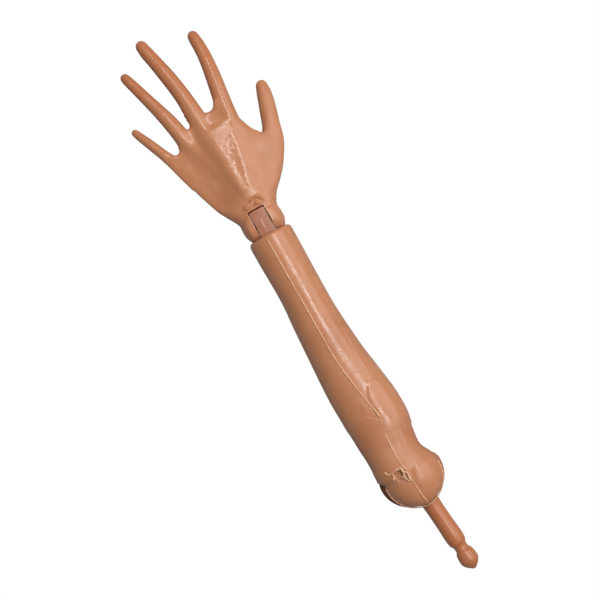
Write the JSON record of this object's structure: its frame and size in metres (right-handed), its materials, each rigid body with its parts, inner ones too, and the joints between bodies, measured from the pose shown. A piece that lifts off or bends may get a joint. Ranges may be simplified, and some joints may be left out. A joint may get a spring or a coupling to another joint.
{
  "type": "jointed doll forearm and hand",
  "caption": "Left forearm and open hand of a one-sixth scale jointed doll, with a hinged turning wrist and a pinned elbow peg that snaps into an upper arm.",
  "frame": {"origin": "middle of the bare round shank of the elbow peg, on its axis", "axes": "+X along the peg towards the elbow and the hand, +Z out of the back of the hand, so the thumb is on the -Y side"},
  "size_m": [0.0838, 0.0192, 0.0078],
  "materials": {
    "skin": "satin vinyl",
    "joint_plastic": "satin",
    "core": "satin",
    "pin": "smooth"
  },
  "bodies": {
    "elbow_peg": {"elbow_peg": "joint_plastic"},
    "forearm": {"forearm_core": "core", "forearm_shell_thumb_side": "skin", "forearm_shell_little_finger_side": "skin", "elbow_pin": "pin"},
    "wrist_peg": {"wrist_peg": "joint_plastic"},
    "hand": {"hand": "skin", "wrist_pin": "pin"}
  },
  "joints": [
    {"name": "elbow_hinge", "type": "hinge", "parent": "elbow_peg", "child": "forearm", "pos_m": [0.008, 0, 0], "axis": [0, 0, -1], "range_deg": [-5, 120]},
    {"name": "wrist_swivel", "type": "hinge", "parent": "forearm", "child": "wrist_peg", "pos_m": [0.04683, -0.00244, 0], "axis": [0.9962, -0.0872, 0], "continuous": true},
    {"name": "wrist_hinge", "type": "hinge", "parent": "wrist_peg", "child": "hand", "pos_m": [0.04683, -0.00244, 0], "axis": [0.0872, 0.9962, 0], "range_deg": [-60, 60]}
  ]
}
